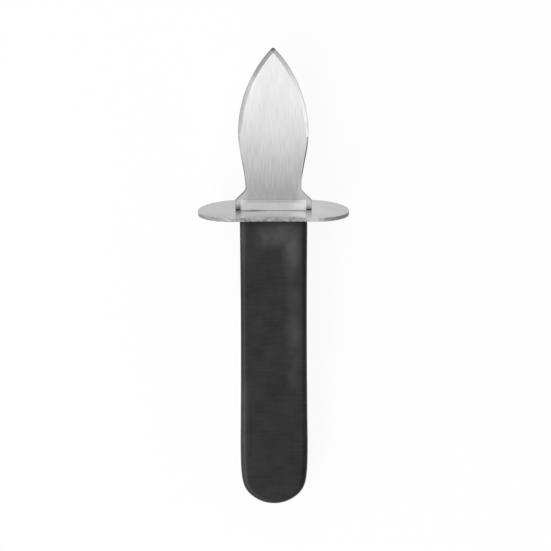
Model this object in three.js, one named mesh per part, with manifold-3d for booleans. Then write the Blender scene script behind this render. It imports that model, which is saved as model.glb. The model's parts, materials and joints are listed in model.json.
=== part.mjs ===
// An oyster knife: a ground spear blade whose foot stands on a bowed oval guard, with its tang held in a
// moulded handle. It lies at rest on the guard's rim and the handle's butt, with the point towards +Y.
//
// Millimetres. The pieces are drawn on the flat knife: x across it, y along it towards the point and z out of
// its upper face, with y = 0 at the handle's top face. The whole knife is then tilted to its rest.

import * as THREE from "three";
import { mergeVertices } from "three/addons/utils/BufferGeometryUtils.js";
import Module from "manifold-3d";

const wasm = await Module();
wasm.setup();

// Blade: heights are measured from the crest of the guard's upper face
const bladeLength = 53.7;
const bladeThickness = 2.2;
const bellyWidth = 23.1;
const bellyHeight = 25.4;
const tipRadius = 0.8;
const waistWidth = 18.4;
const taperEase = 5.8; // reach of the curve's handles at the belly and at the waist
const flareAngle = THREE.MathUtils.degToRad(45); // slope of the shoulders from the blade's axis
const flareRadius = 2.2;
const shoulderWidth = 25.2;
const shoulderHeight = 2.8;
const shoulderClearance = 0.3; // the shoulders' ends stay just off the guard

// Ground bevels along the spear, on both faces
const bevelWidth = 1.25;
const edgeLand = 0.45; // thickness left at the edge
const grindRim = 0.1; // thickness of the ground form's own rim, outside that edge
const runoutHeight = 22.7; // where the grinding starts to leave the edge
const runoutSlope = 0.3; // how fast it leaves the edge

// Foot: slopes out of both faces on to the guard
const footWidth = 21.6;
const footHeight = 3.1;
const footSlope = THREE.MathUtils.degToRad(37); // from the blade's face
const footBlend = 0.5; // radius between that face and the slope
const footToe = 0.2; // thickness of its toe on the guard

// Tang, with holes that the handle's plastic fills
const tangWidth = 12;
const tangReach = 62; // depth below the handle's top face
const tangCorner = 3;
const anchorDiameter = 5;
const anchorDepths = [20, 42]; // below the handle's top face

// Guard: a plate with straight sides and full-round ends, bowed so that its ends dip towards the handle
const guardWidth = 50;
const guardDepth = 25.8;
const guardThickness = 1.3;
const guardBow = 0.7;

// Handle: a flat bar with eased edges, a slight waist and a round butt
const handleLength = 99.3;
const handleThickness = 12.5;
const handleTopWidth = 22.25;
const handleWaistDraw = 0.45; // how far the side's curve is drawn in between top and butt
const buttWidth = 22.5;
const buttHeight = 22; // from the butt's end up to where it is widest
const buttEase = 12; // reach of the curve's handle at the widest place
const crownRadius = 11.5; // the arc round the butt's end
const crownTurn = THREE.MathUtils.degToRad(46); // how far that arc goes to each side
const crownEase = 4; // reach of the curve's handle at the arc's end
const easeWidth = 2; // eased edges, seen on the broad faces
const easeDepth = 1.6; // eased edges, seen on the narrow sides

// Clearances between the pieces
const seatGap = 0.25; // blade to guard, and guard to handle
const tangGap = 0.3; // tang in the guard's slot and in the handle

// Finish of the curves: steps along a curve (a round stretch takes twice as many), and along an eased edge
const curveSteps = 14;
const easeSteps = 5;
const overcut = 2; // how far a cutting or trimming solid runs past what it cuts
const mergeDistance = 1e-4; // points closer than this are one point

// The spear's sides: one arc each, from the belly to the small round of the tip
const bellyHalf = bellyWidth / 2;
const ogiveRise = bladeLength - tipRadius - bellyHeight;
const ogiveRadius = (bellyHalf ** 2 + ogiveRise ** 2 - tipRadius ** 2) / (2 * (bellyHalf - tipRadius));
const ogiveCentre = bellyHalf - ogiveRadius;
const tipAngle = Math.atan2(ogiveRise, -ogiveCentre);

// The guard's bow, the height of its crest above the handle, and the tang's end below that crest
const bowRadius = ((guardWidth / 2) ** 2 + guardBow ** 2) / (2 * guardBow);
const bowDrop = (x) => bowRadius - Math.sqrt(bowRadius ** 2 - x ** 2);
const guardCrest = seatGap + bowDrop(handleTopWidth / 2) + guardThickness;
const tangEnd = -(guardCrest + tangReach);

// A closed solid from a geometry whose shared corners are merged
function solidOf(geometry) {
  const bare = geometry.clone();
  bare.deleteAttribute("normal");
  bare.deleteAttribute("uv");
  const merged = mergeVertices(bare, mergeDistance);
  const mesh = new wasm.Mesh({
    numProp: 3,
    vertProperties: new Float32Array(merged.attributes.position.array),
    triVerts: new Uint32Array(merged.index.array),
  });
  return new wasm.Manifold(mesh);
}

// The geometry of a solid
function geometryOf(solid) {
  const { vertProperties, triVerts } = solid.getMesh();
  const geometry = new THREE.BufferGeometry();
  geometry.setAttribute("position", new THREE.BufferAttribute(vertProperties, 3));
  geometry.setIndex(new THREE.BufferAttribute(triVerts, 1));
  geometry.computeVertexNormals();
  return geometry;
}

// A closed outline from its right half, which starts and ends on the axis x = 0
function mirrored(half) {
  const apart = (p, i, all) => i === 0 || p.distanceTo(all[i - 1]) > mergeDistance;
  const right = half.getPoints(curveSteps).filter(apart);
  const left = right.slice(1, -1).reverse();
  return new THREE.Shape([...right, ...left.map((p) => new THREE.Vector2(-p.x, p.y))]);
}

// A shape extruded evenly to both sides of its own plane
function slab(shape, depth, bevel = { bevelEnabled: false }) {
  const geometry = new THREE.ExtrudeGeometry(shape, { depth, steps: 1, curveSegments: curveSteps, ...bevel });
  return geometry.translate(0, 0, -depth / 2);
}

// The tang's right side, down from a given height and round its end, with its size grown by a gap
function traceTang(path, top, gap) {
  const half = tangWidth / 2 + gap;
  const end = tangEnd - gap;
  const corner = tangCorner + gap;
  path.lineTo(half, top);
  path.lineTo(half, end + corner);
  path.absarc(half - corner, end + corner, corner, 0, -Math.PI / 2, true);
  path.lineTo(0, end);
}

// The stamped blank: spear, waist, sloped shoulders and tang in one sheet, with the anchor holes
function bladeBlank() {
  const waistHalf = waistWidth / 2;
  const shoulderHalf = shoulderWidth / 2;
  const flareTurn = flareRadius * Math.tan(flareAngle / 2);
  const flareCorner = shoulderHeight + (shoulderHalf - waistHalf) / Math.tan(flareAngle);
  const waistHeight = flareCorner + flareTurn;
  const half = new THREE.Path();
  half.moveTo(0, bladeLength);
  half.absarc(0, bladeLength - tipRadius, tipRadius, Math.PI / 2, tipAngle, true);
  half.absarc(ogiveCentre, bellyHeight, ogiveRadius, tipAngle, 0, true);
  half.bezierCurveTo(
    bellyHalf,
    bellyHeight - taperEase,
    waistHalf,
    waistHeight + taperEase,
    waistHalf,
    waistHeight,
  );
  half.absarc(waistHalf + flareRadius, waistHeight, flareRadius, Math.PI, Math.PI + flareAngle, false);
  half.lineTo(shoulderHalf, shoulderHeight);
  half.lineTo(shoulderHalf, shoulderClearance);
  traceTang(half, shoulderClearance, 0);
  const blank = mirrored(half);
  blank.holes = anchorDepths.map((depth) =>
    new THREE.Path().absarc(0, -(guardCrest + depth), anchorDiameter / 2, 0, 2 * Math.PI, false),
  );
  return solidOf(slab(blank, bladeThickness));
}

// What grinding along one edge leaves: a body bevelled along the spear's arc. It runs clear of the blank
// below the belly and reaches past it on the other sides.
function groundBody() {
  const slope = bevelWidth / ((bladeThickness - edgeLand) / 2);
  const radius = ogiveRadius + (slope * (edgeLand - grindRim)) / 2;
  const runoutAngle = Math.asin((runoutHeight - bellyHeight) / radius);
  const runoutHalf = ogiveCentre + radius * Math.cos(runoutAngle);
  const bevelThickness = bladeThickness - grindRim / 2;
  const bevelSize = slope * bevelThickness;
  const left = Math.min(ogiveCentre, -shoulderWidth) - bevelSize - overcut;
  const bottom = tangEnd - bevelSize - overcut;
  const body = new THREE.Shape();
  body.moveTo(left, bottom);
  body.lineTo(runoutHalf + runoutSlope * (runoutHeight - bottom), bottom);
  body.absarc(ogiveCentre, bellyHeight, radius, runoutAngle, Math.PI / 2, false);
  body.lineTo(left, bellyHeight + radius);
  return slab(body, grindRim, { bevelThickness, bevelSize, bevelOffset: -bevelSize, bevelSegments: 1 });
}

// The foot: one profile across the blade's thickness, sloping out from each face to its toe
function bladeFoot() {
  const faceHalf = bladeThickness / 2;
  const slopeTop = footHeight - footBlend * Math.sin(footSlope);
  const slopeDrop = slopeTop - footToe - seatGap;
  const toeHalf = faceHalf + footBlend * (1 - Math.cos(footSlope)) + slopeDrop * Math.tan(footSlope);
  const half = new THREE.Path();
  half.moveTo(0, footHeight);
  half.lineTo(faceHalf, footHeight);
  half.absarc(faceHalf + footBlend, footHeight, footBlend, Math.PI, Math.PI + footSlope, false);
  half.lineTo(toeHalf, seatGap + footToe);
  half.lineTo(toeHalf, seatGap);
  half.lineTo(0, seatGap);
  return solidOf(slab(mirrored(half), footWidth).rotateY(Math.PI / 2));
}

// The blade: the blank ground along both edges, with its foot
function bladeGeometry() {
  const right = groundBody();
  const left = right.clone().rotateY(Math.PI);
  const ground = bladeBlank().intersect(solidOf(right)).intersect(solidOf(left));
  return geometryOf(ground.add(bladeFoot()));
}

// The guard: a bowed strip trimmed to the plate's outline, with the slot for the tang
function guardGeometry() {
  const spread = Math.asin((guardWidth / 2 + overcut) / bowRadius);
  const up = Math.PI / 2;
  const strip = new THREE.Shape();
  strip.absarc(0, -bowRadius, bowRadius - guardThickness, up + spread, up - spread, true);
  strip.absarc(0, -bowRadius, bowRadius, up - spread, up + spread, false);
  const bowed = solidOf(slab(strip, guardDepth + overcut));

  const endRadius = guardDepth / 2;
  const endCentre = guardWidth / 2 - endRadius;
  const outline = new THREE.Shape();
  outline.absarc(endCentre, 0, endRadius, -up, up, false);
  outline.absarc(-endCentre, 0, endRadius, up, 3 * up, false);
  const tall = 2 * (guardBow + guardThickness + overcut);
  const trim = solidOf(slab(outline, tall).rotateX(up));

  const slot = new THREE.BoxGeometry(tangWidth + 2 * tangGap, tall, bladeThickness + 2 * tangGap);
  return geometryOf(bowed.intersect(trim).subtract(solidOf(slot)));
}

// The handle's bar with its eased edges, cut square at the top
function handleBar() {
  const topHalf = handleTopWidth / 2;
  const buttHalf = buttWidth / 2;
  const buttTop = buttHeight - handleLength;
  const crownCentre = crownRadius - handleLength;
  const crownHalf = crownRadius * Math.sin(crownTurn);
  const crownTop = crownCentre - crownRadius * Math.cos(crownTurn);
  const headroom = easeWidth + overcut;
  const half = new THREE.Path();
  half.moveTo(0, headroom);
  half.lineTo(topHalf, headroom);
  half.lineTo(topHalf, 0);
  half.quadraticCurveTo((topHalf + buttHalf) / 2 - handleWaistDraw, buttTop / 2, buttHalf, buttTop);
  half.bezierCurveTo(
    buttHalf,
    buttTop - buttEase,
    crownHalf + crownEase * Math.cos(crownTurn),
    crownTop + crownEase * Math.sin(crownTurn),
    crownHalf,
    crownTop,
  );
  half.absarc(0, crownCentre, crownRadius, crownTurn - Math.PI / 2, -Math.PI / 2, true);
  const bar = slab(mirrored(half), handleThickness - 2 * easeDepth, {
    bevelThickness: easeDepth,
    bevelSize: easeWidth,
    bevelOffset: -easeWidth,
    bevelSegments: easeSteps,
  });
  const above = new THREE.BoxGeometry(2 * handleTopWidth, 2 * headroom, 2 * handleThickness);
  return solidOf(bar).subtract(solidOf(above.translate(0, headroom, 0)));
}

// The room for the tang in the handle
function tangPocket() {
  const half = new THREE.Path();
  half.moveTo(0, 0);
  traceTang(half, 0, tangGap);
  const room = slab(mirrored(half), bladeThickness + 2 * tangGap);
  return solidOf(room.translate(0, guardCrest, 0));
}

// The handle's plastic through one anchor hole
function anchorPlug(depth) {
  const radius = anchorDiameter / 2 - tangGap;
  const length = bladeThickness + 2 * (tangGap + overcut);
  const plug = new THREE.CylinderGeometry(radius, radius, length, 2 * curveSteps);
  return solidOf(plug.rotateX(Math.PI / 2).translate(0, -depth, 0));
}

// The handle, moulded round the tang and through its anchor holes
function handleGeometry() {
  const hollow = handleBar().subtract(tangPocket());
  return geometryOf(anchorDepths.reduce((solid, depth) => solid.add(anchorPlug(depth)), hollow));
}

function piece(name, geometry, height, color, roughness, metalness) {
  const mesh = new THREE.Mesh(geometry, new THREE.MeshStandardMaterial({ color, roughness, metalness }));
  mesh.name = name;
  mesh.position.y = height;
  return mesh;
}

const knife = new THREE.Group();
knife.add(piece("blade", bladeGeometry(), guardCrest, 0xc8c9ca, 0.35, 1));
knife.add(piece("guard_plate", guardGeometry(), guardCrest, 0xc2c3c5, 0.15, 1));
knife.add(piece("handle", handleGeometry(), 0, 0x2b2b2c, 0.5, 0));

// At rest the knife stands on the lowest stretch of the guard's rim and on the flat near the butt
const rimStraight = guardWidth / 2 - guardDepth / 2;
const rimHeight = guardCrest - guardThickness - bowDrop(rimStraight);
const buttFlat = handleLength - easeWidth;
knife.rotation.x = Math.atan2((guardDepth - handleThickness) / 2, rimHeight + buttFlat);

const oysterKnife = new THREE.Group();
oysterKnife.name = "oyster_knife";
oysterKnife.add(knife);
const box = new THREE.Box3().setFromObject(oysterKnife, true);
const middle = box.getCenter(new THREE.Vector3());
knife.position.set(-middle.x, -middle.y, -box.min.z);

export default oysterKnife;
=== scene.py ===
"""An oyster knife at rest on a pale studio floor.

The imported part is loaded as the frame. A finished blade, guard and handle take the places of its solids,
each with its own steel or plastic finish. They are modelled flat, in millimetres: x across the knife,
y along it towards the point and z out of its upper face. The handle has y = 0 at its top, and the blade and
the guard have it at the guard's crest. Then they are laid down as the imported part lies.
"""

import json
import logging
import math
from collections.abc import Callable, Iterator
from contextlib import contextmanager
from dataclasses import dataclass, field
from enum import Enum

import bmesh
import bpy
from mathutils import Euler, Matrix, Vector


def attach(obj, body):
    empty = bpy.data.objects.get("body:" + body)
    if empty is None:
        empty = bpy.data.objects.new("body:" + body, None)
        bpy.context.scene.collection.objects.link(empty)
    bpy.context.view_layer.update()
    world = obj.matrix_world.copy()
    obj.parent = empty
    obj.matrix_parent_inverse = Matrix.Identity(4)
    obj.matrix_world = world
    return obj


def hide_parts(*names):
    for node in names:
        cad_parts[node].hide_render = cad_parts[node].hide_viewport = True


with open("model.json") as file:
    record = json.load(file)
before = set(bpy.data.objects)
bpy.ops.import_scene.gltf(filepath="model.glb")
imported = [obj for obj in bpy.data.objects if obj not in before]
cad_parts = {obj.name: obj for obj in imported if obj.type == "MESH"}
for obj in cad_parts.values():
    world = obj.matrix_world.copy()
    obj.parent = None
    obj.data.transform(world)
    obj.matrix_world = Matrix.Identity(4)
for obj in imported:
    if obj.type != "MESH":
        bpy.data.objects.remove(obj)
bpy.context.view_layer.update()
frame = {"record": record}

LOG = logging.getLogger("oyster_knife")
Colour = tuple[float, float, float]
Triple = tuple[float, float, float]
Pair = tuple[float, float]
Socket = bpy.types.NodeSocket

# One millimetre in metres. The other lengths here are in millimetres.
MM = 0.001
# Points closer than this are merged.
SAME_POINT = 0.002
# What differs by less than this is level.
LEVEL = 0.01
# A face looks along an axis where its normal reaches this far along it.
FACING = 0.9
# Faces that meet at less than this angle are shaded as one, in degrees.
SMOOTH_BELOW = 40.0
# What a noise mostly ranges over.
NOISE_SPAN = (0.3, 0.7)
# The line along an edge fades out over this length below the round's centre.
EDGE_FADE = 2.0
# So long that a measure made with it hardly counts.
VERY_LONG = 1000.0
GRAIN_MAP = "grain"
# Grey for painted shade on the steel: in corners, along creases and edges, under the foot and on darker
# ends.
PAINTED_SHADE_GREY = (0.14, 0.14, 0.14)
# Pale steel for painted highlights on the blade and the guard's rim.
PAINTED_HIGHLIGHT_STEEL = (0.95, 0.95, 0.95)
# Grey for painted highlights on the blade's stamped edges.
PAINTED_EDGE_HIGHLIGHT = (0.55, 0.55, 0.55)
# Grey for painted sheen on the black handle.
PAINTED_SHEEN_GREY = (0.085, 0.085, 0.085)
# Black for painted shade on the handle.
PAINTED_SHADE_BLACK = (0.0026, 0.0026, 0.0026)


class Pick(Enum):
    """What a selection in edit mode is made of."""

    VERTS = "VERT"
    EDGES = "EDGE"
    FACES = "FACE"


class Slot(Enum):
    """The record's material slots."""

    BLADE = "blade_steel"
    GUARD = "guard_steel"
    HANDLE = "handle_plastic"


class Workpiece:
    """One mesh on the bench, sized in millimetres and shaped with operators."""

    def __init__(self, name: str) -> None:
        """Takes over the primitive that was just added.

        Args:
            name: what the piece is called.
        """
        self.obj = bpy.context.view_layer.objects.active
        self.obj.name = name
        self.obj.data.name = name
        self.settle()

    @classmethod
    def block(cls, name: str, size: Triple, centre: Triple) -> "Workpiece":
        """Starts from a cube stretched to a size."""
        bpy.ops.mesh.primitive_cube_add(size=1, location=centre, scale=size)
        return cls(name)

    @classmethod
    def rod(cls, name: str, radius: float, length: float, centre: Triple) -> "Workpiece":
        """Starts from a round rod along z."""
        bpy.ops.mesh.primitive_cylinder_add(vertices=48, radius=radius, depth=length, location=centre)
        return cls(name)

    def activate(self) -> None:
        """Makes this the only selected object."""
        bpy.ops.object.select_all(action="DESELECT")
        self.obj.select_set(True)
        bpy.context.view_layer.objects.active = self.obj

    def settle(self) -> None:
        """Puts the object's place, turn and scale into its mesh."""
        self.activate()
        bpy.ops.object.transform_apply(location=True, rotation=True, scale=True)

    @contextmanager
    def editing(self) -> Iterator[None]:
        """Keeps the piece in edit mode for a with block."""
        self.activate()
        bpy.ops.object.mode_set(mode="EDIT")
        yield
        bpy.ops.object.mode_set(mode="OBJECT")

    def pick(self, kind: Pick, test: Callable[..., bool]) -> None:
        """Selects only what passes a test, in edit mode.

        Args:
            kind: vertices, edges or faces.
            test: says whether one of them is wanted.
        """
        bpy.ops.mesh.select_mode(type=kind.value)
        bpy.ops.mesh.select_all(action="DESELECT")
        mesh = bmesh.from_edit_mesh(self.obj.data)
        mesh.normal_update()
        wanted = [element for element in getattr(mesh, kind.name.lower()) if test(element)]
        for element in wanted:
            element.select_set(True)
        bmesh.update_edit_mesh(self.obj.data)

    def slice(self, point: Triple, normal: Triple, trim: bool = False) -> None:
        """Cuts the whole mesh along a plane, in edit mode, and may trim off what lies beyond it."""
        bpy.ops.mesh.select_all(action="SELECT")
        bpy.ops.mesh.bisect(plane_co=point, plane_no=normal, use_fill=trim, clear_outer=trim)

    def stretch(self, factors: Triple) -> None:
        """Stretches the whole mesh about its origin, in edit mode."""
        bpy.ops.mesh.select_all(action="SELECT")
        bpy.ops.transform.resize(value=factors, center_override=(0, 0, 0))

    def close_up(self) -> None:
        """Merges doubled points and turns all faces outwards, in edit mode."""
        bpy.ops.mesh.select_all(action="SELECT")
        bpy.ops.mesh.remove_doubles(threshold=SAME_POINT)
        bpy.ops.mesh.normals_make_consistent(inside=False)

    def modify(self, kind: str, **settings: object) -> None:
        """Adds a modifier and applies it.

        Args:
            kind: the modifier's type.
            settings: its properties.
        """
        self.activate()
        modifier = self.obj.modifiers.new(kind.lower(), kind)
        for key, value in settings.items():
            setattr(modifier, key, value)
        bpy.ops.object.modifier_apply(modifier=modifier.name)

    def mirror(self) -> None:
        """Mirrors the right half to the left."""
        self.modify("MIRROR", use_axis=(True, False, False), merge_threshold=SAME_POINT)

    def combine(self, other: "Workpiece", operation: str) -> None:
        """Joins another piece to this one (UNION) or cuts it out (DIFFERENCE), and uses it up."""
        self.modify("BOOLEAN", operation=operation, solver="EXACT", object=other.obj)
        bpy.data.objects.remove(other.obj)

    def paint(self, material: bpy.types.Material, test: Callable[..., bool] = lambda face: True) -> None:
        """Gives faces a material.

        Args:
            material: the material.
            test: says whether a face is painted.
        """
        self.obj.data.materials.append(material)
        self.obj.active_material_index = len(self.obj.data.materials) - 1
        with self.editing():
            self.pick(Pick.FACES, test)
            bpy.ops.object.material_slot_assign()

    def smooth(self, degrees: float) -> None:
        """Shades the piece smooth where its faces meet at less than an angle.

        Args:
            degrees: that angle.
        """
        self.activate()
        bpy.ops.object.shade_smooth_by_angle(angle=math.radians(degrees))
        self.modify("WEIGHTED_NORMAL", keep_sharp=True, weight=80)


class Outline:
    """A flat outline, drawn from point to point on the right of the axis x = 0 and then mirrored."""

    def __init__(self, name: str, start: Pair) -> None:
        """Starts from one point.

        Args:
            name: what the piece is called.
            start: where the outline starts, on the axis.
        """
        bpy.ops.mesh.primitive_plane_add(size=1, location=(0, 0, 0))
        self.piece = Workpiece(name)
        self.at = start
        with self.piece.editing():
            bpy.ops.mesh.select_mode(type=Pick.VERTS.value)
            bpy.ops.mesh.select_all(action="SELECT")
            bpy.ops.mesh.merge(type="CENTER")
            bpy.ops.transform.translate(value=(*start, 0))

    def line(self, *points: Pair) -> None:
        """Draws straight on through some points.

        Args:
            points: the points, in order.
        """
        with self.piece.editing():
            for x, y in points:
                step = (x - self.at[0], y - self.at[1], 0)
                bpy.ops.mesh.extrude_vertices_move(TRANSFORM_OT_translate={"value": step})
                self.at = (x, y)

    def arc(self, centre: Pair, turn: float, steps: int) -> None:
        """Draws an arc by spinning the last point.

        Args:
            centre: the arc's centre.
            turn: the angle in radians, anticlockwise where positive.
            steps: how many straight steps it takes.
        """
        with self.piece.editing():
            bpy.ops.mesh.spin(steps=steps, angle=-turn, center=(*centre, 0), axis=(0, 0, 1))
        arm = Matrix.Rotation(turn, 2) @ (Vector(self.at) - Vector(centre))
        self.at = tuple(Vector(centre) + arm)

    def curve(self, *knots: Pair, steps: int) -> None:
        """Draws a Bezier curve from the last point.

        Args:
            knots: the curve's handles and its end.
            steps: how many straight steps it takes.
        """
        points = []
        for step in range(1, steps + 1):
            level = [Vector(knot) for knot in (self.at, *knots)]
            while len(level) > 1:
                level = [a.lerp(b, step / steps) for a, b in zip(level, level[1:])]
            points.append(tuple(level[0]))
        self.line(*points)

    def solid(self, depth: float) -> Workpiece:
        """Mirrors the outline, fills it and gives it a depth, half to each side.

        Args:
            depth: the thickness along z.

        Returns:
            The solid piece.
        """
        self.piece.mirror()
        with self.piece.editing():
            bpy.ops.mesh.select_all(action="SELECT")
            bpy.ops.mesh.edge_face_add()
            bpy.ops.transform.translate(value=(0, 0, -depth / 2))
            bpy.ops.mesh.extrude_region_move(TRANSFORM_OT_translate={"value": (0, 0, depth)})
            self.piece.close_up()
        return self.piece


@dataclass(frozen=True)
class Rest:
    """How the flat knife is laid down."""

    tilt: float
    shift: Vector

    @classmethod
    def of_record(cls, record: dict, face: str, spot: Triple) -> "Rest":
        """Reads the tilt and shift from one of the record's flat faces.

        Args:
            record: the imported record.
            face: the mount's name.
            spot: where that mount lies on the flat knife, in millimetres.

        Returns:
            The rest of that record.
        """
        mount = next(m for m in record["mounts"] if m["name"] == face)
        tilt = math.atan2(-mount["axis"][1], mount["axis"][2])
        return cls(tilt, Vector(mount["pos_m"]) - Matrix.Rotation(tilt, 3, "X") @ Vector(spot) * MM)

    def point(self, spot: Triple) -> Vector:
        """Where a point of the flat knife, in millimetres, comes to lie in the row frame, in metres."""
        return self.shift + Matrix.Rotation(self.tilt, 3, "X") @ Vector(spot) * MM

    def raised(self, height: float) -> "Rest":
        """The same rest for a piece that sits so many millimetres further up the knife."""
        return Rest(self.tilt, self.point((0, height, 0)))

    def lay(self, piece: Workpiece) -> None:
        """Puts a finished piece in its place, with that place in its mesh.

        Args:
            piece: the piece, still flat.
        """
        piece.obj.scale = (MM, MM, MM)
        piece.obj.rotation_euler = Euler((self.tilt, 0, 0))
        piece.obj.location = self.shift
        piece.settle()


FLAT = Rest(0.0, Vector())


@dataclass(frozen=True)
class Grain:
    """A noise: its grain's size across the knife, along it and out of its face, and its finer layers."""

    size: Triple
    detail: float = 3.0
    roughness: float = 0.55


class Board:
    """A node tree with short calls to add and join nodes, some of which lie along the knife."""

    def __init__(self, tree: bpy.types.NodeTree, rest: Rest = FLAT) -> None:
        """Empties the tree.

        Args:
            tree: the tree of a material or a world.
            rest: how the knife lies.
        """
        self.tree = tree
        self.rest = rest
        tree.nodes.clear()

    def add(self, kind: str, inputs: dict | None = None, **settings: object) -> bpy.types.Node:
        """Adds a node.

        Args:
            kind: the node's type.
            inputs: values for its sockets, or the sockets that feed them.
            settings: its properties.

        Returns:
            The node.
        """
        node = self.tree.nodes.new(kind)
        for key, value in settings.items():
            setattr(node, key, value)
        for key, value in (inputs or {}).items():
            if isinstance(value, Socket):
                self.tree.links.new(value, node.inputs[key])
            else:
                node.inputs[key].default_value = value
        return node

    def over(self, reach: Triple, middle: Triple = (0, 0, 0)) -> Socket:
        """Coordinates that lie along the knife.

        Args:
            reach: the length of one unit across the knife, along it and out of its face, in millimetres.
            middle: the flat knife's point at their origin, in millimetres.

        Returns:
            The coordinates.
        """
        place = self.add("ShaderNodeTexCoord")
        turned = self.add(
            "ShaderNodeMapping",
            {
                "Vector": place.outputs["Object"],
                "Location": self.rest.point(middle),
                "Rotation": (self.rest.tilt, 0, 0),
                "Scale": tuple(size * MM for size in reach),
            },
            vector_type="TEXTURE",
        )
        return turned.outputs[0]

    def ramp(self, value: Socket, span: Pair, levels: Pair = (0.0, 1.0), smooth: bool = False) -> Socket:
        """Turns a span of values into a span of levels, and holds the last one on either side.

        Args:
            value: the value.
            span: where the levels start and end.
            levels: the first and the last level.
            smooth: whether it starts and ends softly.

        Returns:
            The level.
        """
        limits = dict(zip(("From Min", "From Max", "To Min", "To Max"), (*span, *levels)))
        kind = "SMOOTHSTEP" if smooth else "LINEAR"
        node = self.add("ShaderNodeMapRange", {"Value": value, **limits}, interpolation_type=kind)
        return node.outputs[0]

    def noise(self, grain: Grain) -> Socket:
        """A noise that lies along the knife."""
        layers = {"Scale": 1.0, "Detail": grain.detail, "Roughness": grain.roughness}
        return self.add("ShaderNodeTexNoise", {"Vector": self.over(grain.size), **layers}).outputs["Fac"]

    def between(self, noise: Socket, low: float = 0.0, high: float = 1.0) -> Socket:
        """Spreads a noise over a range, from its dark to its light places."""
        return self.ramp(noise, NOISE_SPAN, (low, high))

    def patch(self, middle: Triple, reach: Triple) -> Socket:
        """A soft patch on the knife.

        Args:
            middle: where its middle is on the flat knife, in millimetres.
            reach: how far it reaches across the knife, along it and out of its face.

        Returns:
            A value that falls from 1 in its middle to 0 at its border.
        """
        place = self.over(reach, middle)
        ball = self.add("ShaderNodeTexGradient", {"Vector": place}, gradient_type="SPHERICAL")
        return self.ramp(ball.outputs["Fac"], (0.0, 1.0), smooth=True)

    def edge_line(self, centre: Pair, radius: float, width: float) -> Socket:
        """A line along the inside of a round edge, above the round's centre.

        Args:
            centre: the round's centre on the flat piece, in millimetres.
            radius: its radius.
            width: how wide the line is.

        Returns:
            A value that rises from 0 to 1 across the line.
        """
        place = self.over((1, 1, VERY_LONG), (*centre, 0))
        reach = self.add("ShaderNodeVectorMath", {0: place}, operation="LENGTH").outputs["Value"]
        line = self.ramp(reach, (radius - width, radius - width / 2))
        height = self.add("ShaderNodeSeparateXYZ", {0: place}).outputs["Y"]
        return self.maths("MULTIPLY", line, self.ramp(height, (-EDGE_FADE, 0.0)))

    def maths(self, operation: str, first: Socket, second: object) -> Socket:
        """Works out one value from another one and a second one or a number."""
        return self.add("ShaderNodeMath", {0: first, 1: second}, operation=operation).outputs[0]

    def blend(self, first: Socket, second: Socket, share: float = 0.5) -> Socket:
        """A value that lies a share of the way from one to another."""
        return self.add("ShaderNodeMix", {0: share, 2: first, 3: second}, data_type="FLOAT").outputs[0]

    def tint(self, share: Socket, below: Socket | Colour, above: Colour) -> Socket:
        """Lays a colour over another one.

        Args:
            share: how much of it covers, from 0 to 1.
            below: the colour that it covers.
            above: the colour that is laid over.

        Returns:
            The mixed colour.
        """
        ground = below if isinstance(below, Socket) else (*below, 1)
        mix = self.add("ShaderNodeMix", {0: share, 6: ground, 7: (*above, 1)}, data_type="RGBA")
        return mix.outputs[2]

    def bump(self, height: Socket, strength: float, depth: float, **onto: Socket) -> Socket:
        """Raises a surface by a noise, so many millimetres deep, onto a Normal if one is given."""
        inputs = {"Strength": strength, "Distance": depth * MM, "Height": height, **onto}
        return self.add("ShaderNodeBump", inputs).outputs[0]


def new_material(name: str, rest: Rest = FLAT) -> tuple[bpy.types.Material, Board]:
    """Starts a material.

    Args:
        name: what it is called.
        rest: how the knife lies.

    Returns:
        The material and its empty node tree.
    """
    material = bpy.data.materials.new(name)
    material.use_nodes = True
    return material, Board(material.node_tree, rest)


@dataclass(frozen=True)
class Spot:
    """A soft spot of another tone on a finish, with a full middle where its share is over 1."""

    middle: Triple
    reach: Triple
    share: float
    colour: Colour

    def over(self, board: Board, below: Socket, through: object) -> Socket:
        """Lays the spot over a colour, thinned out by another value."""
        share = board.maths("MULTIPLY", board.patch(self.middle, self.reach), self.share)
        return board.tint(board.maths("MULTIPLY", share, through), below, self.colour)


@dataclass(frozen=True)
class Finish:
    """A finish of one colour in a dark and a light shade, with spots on it."""

    name: str
    colour: Colour
    shades: Pair
    roughness: Pair
    spots: tuple[Spot, ...] = ()

    def material(self, rest: Rest) -> bpy.types.Material:
        """Makes the finish.

        Args:
            rest: how the knife lies.

        Returns:
            The material.
        """
        material, board = new_material(self.name, rest)
        shader = board.add("ShaderNodeBsdfPrincipled", self.sockets(board))
        board.add("ShaderNodeOutputMaterial", {"Surface": shader.outputs[0]})
        return material

    def sockets(self, board: Board) -> dict[str, object]:
        """What goes into the shader, which each kind of finish has for itself."""
        raise NotImplementedError

    def toned(self, board: Board, light: Socket) -> Socket:
        """The finish's colour, from its dark to its light shade."""
        dark, pale = (tuple(channel * shade for channel in self.colour) for shade in self.shades)
        return board.tint(light, dark, pale)

    def spotted(self, board: Board, colour: Socket, through: object = 1.0) -> Socket:
        """Lays the spots over a colour.

        Args:
            board: the finish's nodes.
            colour: the colour without spots.
            through: a value that thins them out.

        Returns:
            The colour with spots.
        """
        for spot in self.spots:
            colour = spot.over(board, colour, through)
        return colour


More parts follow.
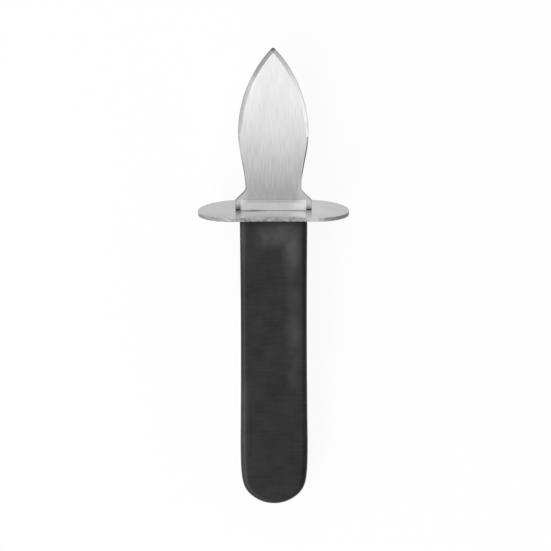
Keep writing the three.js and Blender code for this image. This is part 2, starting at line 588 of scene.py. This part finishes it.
@dataclass(frozen=True)
class BrushedSteel(Finish):
    """Stainless steel brushed along the knife, with painted dark lines of shade along the spear's edges."""

    name: str = "brushed_stainless"
    colour: Colour = (0.7, 0.7, 0.705)
    shades: Pair = (0.86, 1.14)
    roughness: Pair = (0.2, 0.24)
    streak: Grain = Grain((0.22, 6.0, 0.22), 4.0, 0.6)
    cloud: Grain = Grain((6.0, 16.0, 6.0), 2.0)
    cloudiness: float = 0.3
    relief: Pair = (0.02, 0.02)
    anisotropy: float = 0.65
    edges: tuple[tuple[Pair, float], ...] = ()
    edge_shade_width: float = 0.28
    edge_shade_share: float = 0.45

    def sockets(self, board: Board) -> dict[str, object]:
        """What goes into the brushed steel's shader.

        Args:
            board: the finish's nodes.

        Returns:
            The values of its sockets, or what feeds them.
        """
        streaks = board.noise(self.streak)
        clouds = board.noise(self.cloud)
        colour = self.toned(board, board.between(board.blend(streaks, clouds, self.cloudiness)))
        # Paints a dark line of painted shade along each edge of the spear.
        for centre, radius in self.edges:
            line = board.edge_line(centre, radius, self.edge_shade_width)
            colour = board.tint(board.maths("MULTIPLY", line, self.edge_shade_share), colour, PAINTED_SHADE_GREY)
        tangent = board.add("ShaderNodeTangent", direction_type="UV_MAP", uv_map=GRAIN_MAP)
        return {
            "Base Color": self.spotted(board, colour),
            "Metallic": 1.0,
            "Roughness": board.between(streaks, *self.roughness),
            "Anisotropic": self.anisotropy,
            "Normal": board.bump(streaks, *self.relief),
            "Tangent": tangent.outputs[0],
        }


@dataclass(frozen=True)
class ShearedSteel(Finish):
    """The dull, torn steel of a stamped edge."""

    name: str = "sheared_stainless"
    colour: Colour = (0.24, 0.24, 0.243)
    shades: Pair = (0.5, 1.5)
    roughness: Pair = (0.4, 0.6)
    tear: Grain = Grain((0.3, 0.3, 2.0))

    def sockets(self, board: Board) -> dict[str, object]:
        """What goes into the torn steel's shader.

        Args:
            board: the finish's nodes.

        Returns:
            The values of its sockets, or what feeds them.
        """
        tears = board.noise(self.tear)
        return {
            "Base Color": self.spotted(board, self.toned(board, board.between(tears))),
            "Metallic": 1.0,
            "Roughness": board.between(tears, *self.roughness),
        }


@dataclass(frozen=True)
class PolishedSteel(Finish):
    """Stainless steel polished nearly to a mirror, its colour lighter towards the middle than at the ends,
    with painted shade on its left end.
    """

    name: str = "polished_stainless"
    colour: Colour = (0.49, 0.49, 0.495)
    shades: Pair = (0.7, 1.08)
    roughness: Pair = (0.14, 0.22)
    # Painted shade on the guard's left end.
    spots: tuple[Spot, ...] = (Spot((-23.0, 0.0, 10.0), (17.0, 60.0, 10.0), 0.3, PAINTED_SHADE_GREY),)
    # Lightens the colour towards the middle of the plate.
    lighter_middle: tuple[Triple, Triple] = ((3.0, 0.0, 0.0), (30.0, 60.0, 60.0))
    smear: Grain = Grain((9.0, 9.0, 9.0))
    scratch: Grain = Grain((7.0, 0.3, 0.3), 2.0)
    relief: Pair = (0.03, 0.02)

    def sockets(self, board: Board) -> dict[str, object]:
        """What goes into the polished steel's shader.

        Args:
            board: the finish's nodes.

        Returns:
            The values of its sockets, or what feeds them.
        """
        smears = board.noise(self.smear)
        light = board.blend(board.between(smears), board.patch(*self.lighter_middle))
        return {
            "Base Color": self.spotted(board, self.toned(board, light)),
            "Metallic": 1.0,
            "Roughness": board.between(smears, *self.roughness),
            "Normal": board.bump(board.noise(self.scratch), *self.relief),
        }


@dataclass(frozen=True)
class SatinPlastic(Finish):
    """Moulded black plastic with a satin skin, and painted sheen and painted shade laid on its colour."""

    name: str = "satin_black_plastic"
    colour: Colour = (0.013, 0.013, 0.0133)
    shades: Pair = (0.35, 1.75)
    roughness: Pair = (0.4, 0.54)
    spots: tuple[Spot, ...] = (
        # Painted sheen on the face's upper part and down its right half.
        Spot((2.5, -4.5, 6.0), (8.5, 7.0, 12.0), 1.0, PAINTED_SHEEN_GREY),
        Spot((-2.5, -6.5, 6.0), (6.5, 6.0, 12.0), 0.7, PAINTED_SHEEN_GREY),
        Spot((6.0, -11.5, 6.0), (4.2, 13.0, 12.0), 1.0, PAINTED_SHEEN_GREY),
        Spot((6.6, -38.0, 6.0), (4.2, 34.0, 12.0), 0.45, PAINTED_SHEEN_GREY),
        # Painted sheen along the left edge, near the top and towards the butt.
        Spot((-10.2, -7.0, 5.0), (2.4, 16.0, 12.0), 0.35, PAINTED_SHEEN_GREY),
        Spot((-10.2, -72.0, 5.0), (2.4, 36.0, 12.0), 0.4, PAINTED_SHEEN_GREY),
        # Painted shadow under the guard.
        Spot((0.0, -1.5, 0.0), (40.0, 2.4, 40.0), 1.0, PAINTED_SHADE_BLACK),
        # Painted shade along the right edge.
        Spot((10.8, -20.0, 4.0), (2.4, 36.0, 12.0), 1.0, PAINTED_SHADE_BLACK),
        # Painted shade towards the butt.
        Spot((0.0, -77.0, 6.0), (9.0, 13.0, 12.0), 0.4, PAINTED_SHADE_BLACK),
    )
    mottle: Grain = Grain((5.0, 7.0, 5.0), 4.0)
    line: Grain = Grain((7.0, 0.6, 7.0), 4.0, 0.65)
    pore: Grain = Grain((0.35, 0.35, 0.35), 2.0)
    spot_mottle: Pair = (0.4, 1.0)
    specular: float = 0.3
    line_relief: Pair = (0.1, 0.06)
    pore_relief: Pair = (0.12, 0.03)

    def sockets(self, board: Board) -> dict[str, object]:
        """What goes into the plastic's shader.

        Args:
            board: the finish's nodes.

        Returns:
            The values of its sockets, or what feeds them.
        """
        mottle = board.noise(self.mottle)
        lines = board.noise(self.line)
        half = board.blend(mottle, lines)
        colour = self.toned(board, board.between(half))
        # A mottle that thins the painted sheen and painted shade unevenly.
        spot_thinning = board.between(mottle, *self.spot_mottle)
        pores = board.bump(board.noise(self.pore), *self.pore_relief)
        return {
            "Base Color": self.spotted(board, colour, spot_thinning),
            "Roughness": board.between(half, *self.roughness),
            "Specular IOR Level": self.specular,
            "Normal": board.bump(lines, *self.line_relief, Normal=pores),
        }


@dataclass
class Handle:
    """The moulded handle: an eased flat bar with a slight waist and a round butt."""

    length: float = 99.3
    top_width: float = 22.25
    waist_draw: float = 0.45
    butt: Pair = (11.25, 22.0)
    butt_ease: float = 12.0
    crown_radius: float = 11.5
    crown_turn: float = math.radians(46)
    crown_ease: float = 4.0
    thickness: float = 12.5
    ease_width: float = 2.0
    ease_depth: float = 1.6
    ease_steps: int = 10
    pocket: Triple = (12.6, 62.3, 2.8)
    pocket_border: float = 0.5
    mount_depth: float = 50.0

    def mount(self) -> Triple:
        """Where the record's mount on the upper face lies."""
        return 0, -self.mount_depth, self.thickness / 2

    def build(self) -> Workpiece:
        """Models the handle.

        Returns:
            The finished handle, still flat.
        """
        squash = self.ease_width / self.ease_depth
        bar = self.outline().solid(self.thickness * squash)
        with bar.editing():
            self.ease_edges(bar)
            bar.stretch((1, 1, 1 / squash))
            self.hollow(bar)
            bar.close_up()
        bar.smooth(SMOOTH_BELOW)
        return bar

    def dress(self, bar: Workpiece, rest: Rest) -> None:
        """Gives the finished handle its plastic."""
        bar.paint(SatinPlastic().material(rest))

    def outline(self) -> Outline:
        """Draws the bar's outline, round the butt and up the side to the top.

        Returns:
            The outline.
        """
        top_half = self.top_width / 2
        butt_half, butt_height = self.butt
        butt_top = butt_height - self.length
        outline = Outline("handle_moulding", (0, -self.length))
        outline.arc((0, self.crown_radius - self.length), self.crown_turn, steps=16)
        onward = Vector((math.cos(self.crown_turn), math.sin(self.crown_turn)))
        leave = Vector(outline.at) + self.crown_ease * onward
        outline.curve(leave, (butt_half, butt_top - self.butt_ease), (butt_half, butt_top), steps=20)
        drawn = (top_half + butt_half) / 2 - self.waist_draw
        outline.curve((drawn, butt_top / 2), (top_half, 0), steps=14)
        outline.line((0, 0))
        return outline

    def ease_edges(self, bar: Workpiece) -> None:
        """Rounds the long edges and the butt's rims, and leaves the top square.

        Args:
            bar: the handle's bar, in edit mode.
        """

        def is_rim(edge: bmesh.types.BMEdge) -> bool:
            """Whether an edge parts a broad face from a side."""
            flat = [abs(face.normal.z) > FACING for face in edge.link_faces]
            top = any(face.normal.y > FACING for face in edge.link_faces)
            return len(flat) == 2 and flat[0] != flat[1] and not top

        bar.pick(Pick.EDGES, is_rim)
        bpy.ops.mesh.bevel(offset=self.ease_width, segments=self.ease_steps, clamp_overlap=False)

    def hollow(self, bar: Workpiece) -> None:
        """Sinks the room for the tang into the top.

        Args:
            bar: the handle's bar, in edit mode.
        """
        width, depth, gap = self.pocket
        border = self.pocket_border
        bar.pick(Pick.FACES, lambda f: f.normal.y > FACING and f.calc_center_median().y > -LEVEL)
        bpy.ops.mesh.inset(thickness=border)
        factors = (width / (self.top_width - 2 * border), 1, gap / (self.thickness - 2 * border))
        bpy.ops.transform.resize(value=factors, center_override=(0, 0, 0))
        bpy.ops.mesh.extrude_region_move(TRANSFORM_OT_translate={"value": (0, -depth, 0)})


@dataclass
class Guard:
    """The hand guard: a thin bowed plate with straight sides and full-round ends."""

    width: float = 50.0
    depth: float = 25.8
    thickness: float = 1.3
    bow: float = 0.7
    rim_round: float = 0.32
    slot: Pair = (12.6, 2.8)
    stations: int = 24
    seat: float = 0.25
    # The two rounds of an end stop just short of meeting.
    end_share: float = 0.9999
    end_steps: int = 28
    rim_steps: int = 3
    rim_angle: float = math.radians(50)
    rim: ShearedSteel = ShearedSteel(
        name="sheared_rim",
        colour=(0.36, 0.36, 0.364),
        roughness=(0.5, 0.65),
        spots=(
            # Painted shade on the rim's right end, and a painted highlight on the rim towards the right.
            Spot((24.5, -0.6, 6.0), (7.0, 60.0, 12.0), 0.68, PAINTED_SHADE_GREY),
            Spot((14.5, -0.6, 12.5), (5.5, 60.0, 9.0), 0.65, PAINTED_HIGHLIGHT_STEEL),
        ),
        tear=Grain((1.2, 0.5, 1.2)),
    )

    def bow_radius(self) -> float:
        """The radius of the bow."""
        return (self.width**2 / 4 + self.bow**2) / (2 * self.bow)

    def crest(self, handle_top: float) -> float:
        """How high the crest stands over a handle's top of some width."""
        radius = self.bow_radius()
        return self.seat + radius - math.sqrt(radius**2 - handle_top**2 / 4) + self.thickness

    def build(self) -> Workpiece:
        """Models the guard.

        Returns:
            The finished guard, still flat, with its crest at y = 0.
        """
        size = (self.width, self.thickness, self.depth)
        plate = Workpiece.block("guard_pressing", size, (0, -self.thickness / 2, 0))
        with plate.editing():
            plate.pick(Pick.EDGES, lambda e: abs(e.verts[0].co.y - e.verts[1].co.y) > self.thickness / 2)
            offset = self.depth / 2 * self.end_share
            bpy.ops.mesh.bevel(offset=offset, segments=self.end_steps, clamp_overlap=False)
            plate.close_up()
            self.pierce(plate)
            plate.close_up()
        angle = -self.width / self.bow_radius()
        plate.modify("SIMPLE_DEFORM", deform_method="BEND", deform_axis="Z", angle=angle)
        plate.modify(
            "BEVEL",
            width=self.rim_round,
            segments=self.rim_steps,
            limit_method="ANGLE",
            angle_limit=self.rim_angle,
        )
        plate.smooth(SMOOTH_BELOW)
        return plate

    def dress(self, plate: Workpiece, rest: Rest) -> None:
        """Polishes the finished guard, leaves its rim dull and paints shade and highlights on both."""
        plate.paint(PolishedSteel().material(rest))
        plate.paint(self.rim.material(rest), lambda f: abs(f.normal.y) < FACING)

    def pierce(self, plate: Workpiece) -> None:
        """Cuts the plate across so that it can bow, and opens the tang's slot.

        Args:
            plate: the guard's plate, in edit mode.
        """
        half_wide = self.slot[0] / 2
        half_deep = self.slot[1] / 2
        for station in range(1, self.stations):
            plate.slice((self.width * (station / self.stations - 0.5), 0, 0), (1, 0, 0))
        for side in (-1, 1):
            plate.slice((side * half_wide, 0, 0), (1, 0, 0))
            plate.slice((0, 0, side * half_deep), (0, 0, 1))

        def in_slot(face: bmesh.types.BMFace) -> bool:
            """Whether a face of the plate lies over the slot."""
            middle = face.calc_center_median()
            return abs(middle.x) < half_wide and abs(middle.z) < half_deep and abs(face.normal.y) > FACING

        plate.pick(Pick.FACES, in_slot)
        bpy.ops.mesh.delete(type="FACE")
        plate.pick(Pick.EDGES, lambda e: e.is_boundary)
        bpy.ops.mesh.bridge_edge_loops()


@dataclass
class Blade:
    """The blade: a ground spear with a waist, sloped shoulders, a flared foot and the tang."""

    length: float = 53.7
    thickness: float = 2.2
    belly: Pair = (11.55, 25.4)
    tip_radius: float = 0.8
    waist_half: float = 9.2
    taper_ease: float = 5.8
    taper_steps: int = 96
    spear_steps: int = 150
    tip_cuts: tuple[float, ...] = (90.0, 66.0, 114.0)
    smooth_below: float = 20.0
    flare: float = math.radians(45)
    flare_radius: float = 2.2
    shoulder: Pair = (12.6, 2.8)
    shoulder_clearance: float = 0.02
    bevel_width: float = 1.25
    edge_land: float = 0.45
    runout: tuple[Pair, ...] = ((8.0, 0.1), (15.0, 0.3), (23.5, 0.34), (28.5, 1.0))
    stamped_below: float = 24.3
    foot: Pair = (21.6, 3.1)
    foot_slope: float = math.radians(37)
    foot_blend: float = 0.5
    foot_toe: float = 0.2
    foot_sink: float = 0.01
    seat: float = 0.015
    seat_radius: float = 446.8
    seat_steps: int = 6
    tang: Triple = (6.0, 63.69, 3.0)
    anchor_radius: float = 2.5
    anchors: tuple[float, ...] = (21.69, 43.69)
    painted_face_light: tuple[Spot, ...] = (
        # Painted shade on the point.
        Spot((0.0, 53.7, 0.0), (1.5, 1.7, 8.0), 1.0, PAINTED_SHADE_GREY),
        # Painted shade along the top of the foot.
        Spot((0.0, 2.74, 0.0), (40.0, 0.9, 8.0), 0.35, PAINTED_SHADE_GREY),
        # A faint painted highlight across the face just above the foot.
        Spot((0.0, 3.8, 0.0), (40.0, 2.05, 8.0), 0.2, PAINTED_HIGHLIGHT_STEEL),
        # Painted shadow along the left part of the foot's seat on the guard.
        Spot((-6.0, 0.0, 2.8), (5.5, 0.5, 3.0), 0.5, PAINTED_SHADE_GREY),
        # A painted highlight on the right part of the foot.
        Spot((9.0, 1.3, 2.2), (5.0, 2.2, 4.0), 0.6, PAINTED_HIGHLIGHT_STEEL),
        # Painted shade in the corners beside the foot.
        Spot((-11.6, 0.3, 0.0), (2.0, 1.8, 8.0), 0.78, PAINTED_SHADE_GREY),
        Spot((11.6, 0.1, 0.0), (2.2, 1.6, 8.0), 0.72, PAINTED_SHADE_GREY),
        # Painted highlights on the flares.
        Spot((-11.4, 5.0, 0.0), (4.0, 4.8, 8.0), 1.8, PAINTED_HIGHLIGHT_STEEL),
        Spot((11.8, 5.4, 0.0), (5.4, 6.5, 8.0), 2.0, PAINTED_HIGHLIGHT_STEEL),
        # A painted highlight on the left of the spear.
        Spot((-7.2, 45.0, 0.0), (2.2, 8.0, 8.0), 0.6, PAINTED_HIGHLIGHT_STEEL),
    )
    # Painted highlights on the stamped edges: on both sides of the waist, low on its right, on the right
    # flare and on the shoulders' ends.
    painted_edge_highlights: tuple[Spot, ...] = (
        Spot((-11.2, 20.5, 0.0), (4.0, 8.0, 8.0), 1.0, PAINTED_EDGE_HIGHLIGHT),
        Spot((11.5, 24.3, 0.0), (4.0, 5.0, 8.0), 1.0, PAINTED_EDGE_HIGHLIGHT),
        Spot((9.4, 9.0, 0.0), (3.0, 4.0, 8.0), 1.0, PAINTED_HIGHLIGHT_STEEL),
        Spot((10.4, 5.2, 0.0), (3.0, 3.4, 8.0), 0.8, PAINTED_EDGE_HIGHLIGHT),
        Spot((-12.6, 1.7, 0.0), (1.5, 2.2, 8.0), 1.2, PAINTED_EDGE_HIGHLIGHT),
        Spot((12.6, 1.7, 0.0), (1.5, 2.2, 8.0), 1.2, PAINTED_EDGE_HIGHLIGHT),
    )

    def build(self) -> Workpiece:
        """Models the blade.

        Returns:
            The finished blade, still flat, with y = 0 at the guard's crest.
        """
        blade = self.blank()
        self.grind(blade)
        for depth in self.anchors:
            hole = Workpiece.rod("anchor_hole", self.anchor_radius, 4 * self.thickness, (0, -depth, 0))
            blade.combine(hole, "DIFFERENCE")
        blade.combine(self.flared_foot(), "UNION")
        with blade.editing():
            blade.close_up()
        blade.smooth(self.smooth_below)
        self.map_grain(blade)
        return blade

    def dress(self, blade: Workpiece, rest: Rest) -> None:
        """Brushes the blade, leaves its stamped edges dull and paints light and shade on both.

        Args:
            blade: the finished blade, still flat.
            rest: how the knife lies.
        """

        def is_stamped(face: bmesh.types.BMFace) -> bool:
            """Whether a face is part of the stamped edge, below the ground bevel."""
            x, y, z = face.calc_center_median()
            on_edge = abs(x) > self.waist_half / 2 and abs(z) < self.thickness / 2 - SAME_POINT
            return on_edge and abs(face.normal.z) < FACING and 0 < y < self.stamped_below

        centre, radius = self.ogive()
        height = self.belly[1]
        brushed = BrushedSteel(
            edges=(((centre, height), radius), ((-centre, height), radius)), spots=self.painted_face_light
        )
        blade.paint(brushed.material(rest))
        blade.paint(ShearedSteel(spots=self.painted_edge_highlights).material(rest), is_stamped)

    def blank(self) -> Workpiece:
        """Draws the stamped blank and makes it solid, thick enough to be ground at 45 degrees.

        Returns:
            The blank.
        """
        tang_half, tang_end, corner = self.tang
        belly_half, belly_height = self.belly
        shoulder_half, shoulder_height = self.shoulder
        corner_height = shoulder_height + (shoulder_half - self.waist_half) / math.tan(self.flare)
        waist_height = corner_height + self.flare_radius * math.tan(self.flare / 2)
        turn_start = (
            self.waist_half + self.flare_radius * (1 - math.cos(self.flare)),
            waist_height - self.flare_radius * math.sin(self.flare),
        )
        centre, radius = self.ogive()
        outline = Outline("blade_forging", (0, -tang_end))
        outline.line((tang_half - corner, -tang_end))
        outline.arc((tang_half - corner, corner - tang_end), math.pi / 2, steps=8)
        outline.line((tang_half, self.shoulder_clearance), (shoulder_half, self.shoulder_clearance))
        outline.line((shoulder_half, shoulder_height), turn_start)
        outline.arc((self.waist_half + self.flare_radius, waist_height), -self.flare, steps=10)
        outline.curve(
            (self.waist_half, waist_height + self.taper_ease),
            (belly_half, belly_height - self.taper_ease),
            self.belly,
            steps=self.taper_steps,
        )
        outline.arc((centre, belly_height), math.acos(-centre / radius), self.spear_steps)
        return outline.solid(self.thickness / self.steepness())

    def ogive(self) -> Pair:
        """The arc of the spear's right side.

        Returns:
            Where its centre is across the blade, at the belly's height, and its radius.
        """
        half, height = self.belly
        rise = self.length - self.tip_radius - height
        radius = (half**2 + rise**2 - self.tip_radius**2) / (2 * (half - self.tip_radius))
        return half - radius, radius

    def steepness(self) -> float:
        """How deep the ground bevel goes for each millimetre of its width."""
        return (self.thickness - self.edge_land) / 2 / self.bevel_width

    def grind(self, blade: Workpiece) -> None:
        """Bevels the right edge on both faces, mirrors it to the left and rounds the tip.

        Args:
            blade: the blank.
        """
        self.mark_ground_edge(blade)
        blade.modify(
            "BEVEL", width=self.bevel_width, segments=1, limit_method="WEIGHT", use_clamp_overlap=False
        )
        with blade.editing():
            blade.stretch((1, 1, self.steepness()))
            bpy.ops.mesh.bisect(plane_co=(0, 0, 0), plane_no=(1, 0, 0), clear_inner=True)
        blade.mirror()
        tip = self.length - self.tip_radius
        with blade.editing():
            for degrees in self.tip_cuts:
                normal = (math.cos(math.radians(degrees)), math.sin(math.radians(degrees)), 0)
                point = (self.tip_radius * normal[0], tip + self.tip_radius * normal[1], 0)
                blade.slice(point, normal, trim=True)

    def mark_ground_edge(self, blade: Workpiece) -> None:
        """Gives the right edge its bevel weight, full along the spear and slight below the belly.

        Args:
            blade: the blank.
        """
        with blade.editing():
            mesh = bmesh.from_edit_mesh(blade.obj.data)
            weight = mesh.edges.layers.float.new("bevel_weight_edge")
            for edge in mesh.edges:
                height = (edge.verts[0].co.y + edge.verts[1].co.y) / 2
                right = edge.verts[0].co.x + edge.verts[1].co.x > 0
                level = abs(edge.verts[0].co.z - edge.verts[1].co.z) < LEVEL
                if right and level and height > self.shoulder_clearance:
                    edge[weight] = self.grind_share(height)
            bmesh.update_edit_mesh(blade.obj.data)

    def grind_share(self, height: float) -> float:
        """How much of the full bevel is ground at a height.

        Args:
            height: the height above the guard.

        Returns:
            The share, from 0 to 1.
        """
        share = self.runout[0][1]
        for (low, before), (high, after) in zip(self.runout, self.runout[1:]):
            if height > low:
                share = before + (after - before) * min(1.0, (height - low) / (high - low))
        return share

    def flared_foot(self) -> Workpiece:
        """Draws the foot's profile, sloping out on both faces, and makes it as wide as the foot.

        Returns:
            The foot.
        """
        width, height = self.foot
        slope = self.foot_slope
        blend = self.foot_blend
        face = self.thickness / 2 - self.foot_sink
        toe_top = self.seat + self.foot_toe
        drop = height - blend * math.sin(slope) - toe_top
        toe = face + blend * (1 - math.cos(slope)) + drop * math.tan(slope)
        outline = Outline("foot", (0, self.seat))
        outline.line((toe, self.seat), (toe, toe_top), (toe - drop * math.tan(slope), toe_top + drop))
        outline.arc((face + blend, height), -slope, steps=10)
        outline.line((0, height))
        foot = outline.solid(width)
        foot.obj.rotation_euler = Euler((0, math.pi / 2, 0))
        foot.settle()
        with foot.editing():
            self.bow_underside(foot)
        return foot

    def bow_underside(self, foot: Workpiece) -> None:
        """Lets the foot's underside follow the bowed guard.

        Args:
            foot: the straight foot, in edit mode.
        """
        half = self.foot[0] / 2
        stations = [half * step / self.seat_steps for step in range(-self.seat_steps, self.seat_steps + 1)]
        for x in stations[1:-1]:
            foot.slice((x, 0, 0), (1, 0, 0))
        for x in stations:
            drop = self.seat_radius - math.sqrt(self.seat_radius**2 - x**2)
            foot.pick(Pick.VERTS, lambda v, x=x: abs(v.co.x - x) < LEVEL and v.co.y < self.seat + LEVEL)
            bpy.ops.transform.translate(value=(0, -drop, 0))

    def map_grain(self, blade: Workpiece) -> None:
        """Lays a flat map over the blade, so that its grain has a direction.

        Args:
            blade: the finished blade.
        """
        mesh = blade.obj.data
        layer = mesh.uv_layers.new(name=GRAIN_MAP)
        for loop in mesh.loops:
            place = mesh.vertices[loop.vertex_index].co
            layer.data[loop.index].uv = (place.x / self.length, place.y / self.length)


@dataclass(frozen=True)
class Panel:
    """A soft light, sized in metres, with a brightness where 1 is white."""

    name: str
    place: Triple
    target: Triple
    size: Pair
    radiance: float

    def hang(self) -> None:
        """Hangs the light in its place, facing its target and unseen by the camera."""
        width, height = self.size
        light = bpy.data.lights.new(self.name, "AREA")
        light.shape = "RECTANGLE"
        light.size = width
        light.size_y = height
        light.energy = self.radiance * math.pi * width * height
        lamp = bpy.data.objects.new(self.name, light)
        bpy.context.scene.collection.objects.link(lamp)
        lamp.location = self.place
        facing = Vector(self.target) - Vector(self.place)
        lamp.rotation_euler = facing.to_track_quat("-Z", "Y").to_euler()
        lamp.visible_camera = False


@dataclass
class Studio:
    """The floor, the lights, the sky and the camera, sized in metres but for the aim on the flat knife."""

    distance: float = 1.0
    lens_px: float = 3012.7
    image_px: int = 551
    sensor: float = 36.0
    off_face: float = math.radians(14.761)
    roll: float = math.radians(-0.15)
    aim: Triple = (0.0, -21.24, 0.0)
    aside: float = 0.0006
    floor_size: float = 6.0
    floor_colour: Colour = (0.95, 0.95, 0.95)
    floor_glow: float = 0.92
    # For each axis, where the sky's brightness starts and stops changing, and how bright it is there.
    sky_height: tuple[Pair, Pair] = ((0.0, 0.7), (0.9, 0.3))
    sky_side: tuple[Pair, Pair] = ((0.25, 0.75), (1.0, 0.38))
    sky_front: tuple[Pair, Pair] = ((0.3, 1.0), (0.0, 0.47))
    panels: tuple[Panel, ...] = (
        Panel("overhead_panel", (0.0, -0.0435, 0.45), (0.0, -0.0435, 0.0), (0.6, 0.087), 1.0),
        Panel("far_overhead_panel", (0.0, 0.2, 0.45), (0.0, 0.2, 0.0), (0.6, 0.4), 0.55),
        Panel("left_panel", (-0.58, -0.2, 0.69), (0.0, -0.2, 0.0), (0.9, 0.6), 1.4),
        Panel("back_panel", (-0.36, -0.62, 0.6), (0.0, 0.0, 0.0), (0.5, 0.45), 4.5),
        Panel("right_panel", (0.779, 0.241, 0.29), (0.0, 0.04, 0.0), (1.1, 0.18), 1.9),
    )

    def build(self, rest: Rest) -> None:
        """Sets up the whole studio.

        Args:
            rest: how the knife lies.
        """
        bpy.context.scene.view_settings.view_transform = "Standard"
        self.lay_floor()
        self.paint_sky()
        for panel in self.panels:
            panel.hang()
        self.place_camera(rest)

    def lay_floor(self) -> None:
        """Lays a plain floor that looks white to the camera and in reflections."""
        bpy.ops.mesh.primitive_plane_add(size=self.floor_size, location=(0, 0, 0))
        floor = bpy.context.view_layer.objects.active
        floor.name = "studio_floor"
        material, board = new_material("pale_floor")
        paths = board.add("ShaderNodeLightPath").outputs
        seen = board.maths("MAXIMUM", paths["Is Camera Ray"], paths["Is Glossy Ray"])
        seen = board.maths("MAXIMUM", seen, paths["Is Transmission Ray"])
        share = board.maths("MULTIPLY", seen, self.floor_glow)
        paint = board.add("ShaderNodeBsdfDiffuse", {"Color": (*self.floor_colour, 1)})
        glow = board.add("ShaderNodeEmission", {"Color": (1, 1, 1, 1), "Strength": 1.0})
        mix = board.add("ShaderNodeMixShader", {0: share, 1: paint.outputs[0], 2: glow.outputs[0]})
        board.add("ShaderNodeOutputMaterial", {"Surface": mix.outputs[0]})
        floor.data.materials.append(material)

    def paint_sky(self) -> None:
        """Makes the sky pale at the horizon, most of all in front, grey overhead and dark to the right."""
        world = bpy.data.worlds.new("studio_sky")
        world.use_nodes = True
        bpy.context.scene.world = world
        board = Board(world.node_tree)
        place = board.add("ShaderNodeTexCoord")
        axes = board.add("ShaderNodeSeparateXYZ", {0: place.outputs["Generated"]}).outputs
        height = board.ramp(axes["Z"], *self.sky_height, smooth=True)
        side = board.ramp(axes["X"], *self.sky_side, smooth=True)
        front = board.ramp(axes["Y"], *self.sky_front, smooth=True)
        level = board.maths("ADD", board.maths("MULTIPLY", height, side), front)
        sky = board.add("ShaderNodeBackground", {"Color": (1, 1, 1, 1), "Strength": level})
        board.add("ShaderNodeOutputWorld", {"Surface": sky.outputs[0]})

    def place_camera(self, rest: Rest) -> None:
        """Stands the camera above the knife, a little towards its point.

        Args:
            rest: how the knife lies.
        """
        camera = bpy.data.cameras.new("camera")
        camera.sensor_width = self.sensor
        camera.sensor_fit = "HORIZONTAL"
        camera.lens = self.sensor * self.lens_px / self.image_px
        stand = bpy.data.objects.new("camera", camera)
        bpy.context.scene.collection.objects.link(stand)
        lean = self.off_face - rest.tilt
        turn = Matrix.Rotation(-lean, 4, "X") @ Matrix.Rotation(self.roll, 4, "Z")
        away = Vector((0, math.sin(lean), math.cos(lean))) * self.distance
        place = rest.point(self.aim) + away + Vector((self.aside, 0, 0))
        stand.matrix_world = Matrix.Translation(place) @ turn
        bpy.context.scene.camera = stand


@dataclass
class Knife:
    """The whole knife: its pieces, their finishes and how it lies."""

    rest: Rest
    blade: Blade = field(default_factory=Blade)
    guard: Guard = field(default_factory=Guard)
    handle: Handle = field(default_factory=Handle)

    def build(self) -> None:
        """Builds, dresses and lays down each piece, and puts it in the place of its node."""
        crest = self.guard.crest(self.handle.top_width)
        jobs = (
            (self.blade, crest, "blade", Slot.BLADE),
            (self.guard, crest, "guard_plate", Slot.GUARD),
            (self.handle, 0.0, "handle", Slot.HANDLE),
        )
        for maker, height, node, slot in jobs:
            piece = maker.build()
            seat = self.rest.raised(height)
            maker.dress(piece, seat)
            seat.lay(piece)
            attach(piece.obj, "root")
            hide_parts(node)
            LOG.info("%s: %d faces, for node %s", piece.obj.name, len(piece.obj.data.polygons), node)


def main() -> None:
    """Builds the knife and its studio."""
    logging.basicConfig(level=logging.INFO, format="%(name)s: %(message)s")
    rest = Rest.of_record(frame["record"], "handle_upper_face", Handle().mount())
    Knife(rest).build()
    Studio().build(rest)
    LOG.info("boxes written")


if __name__ == "__main__":
    main()
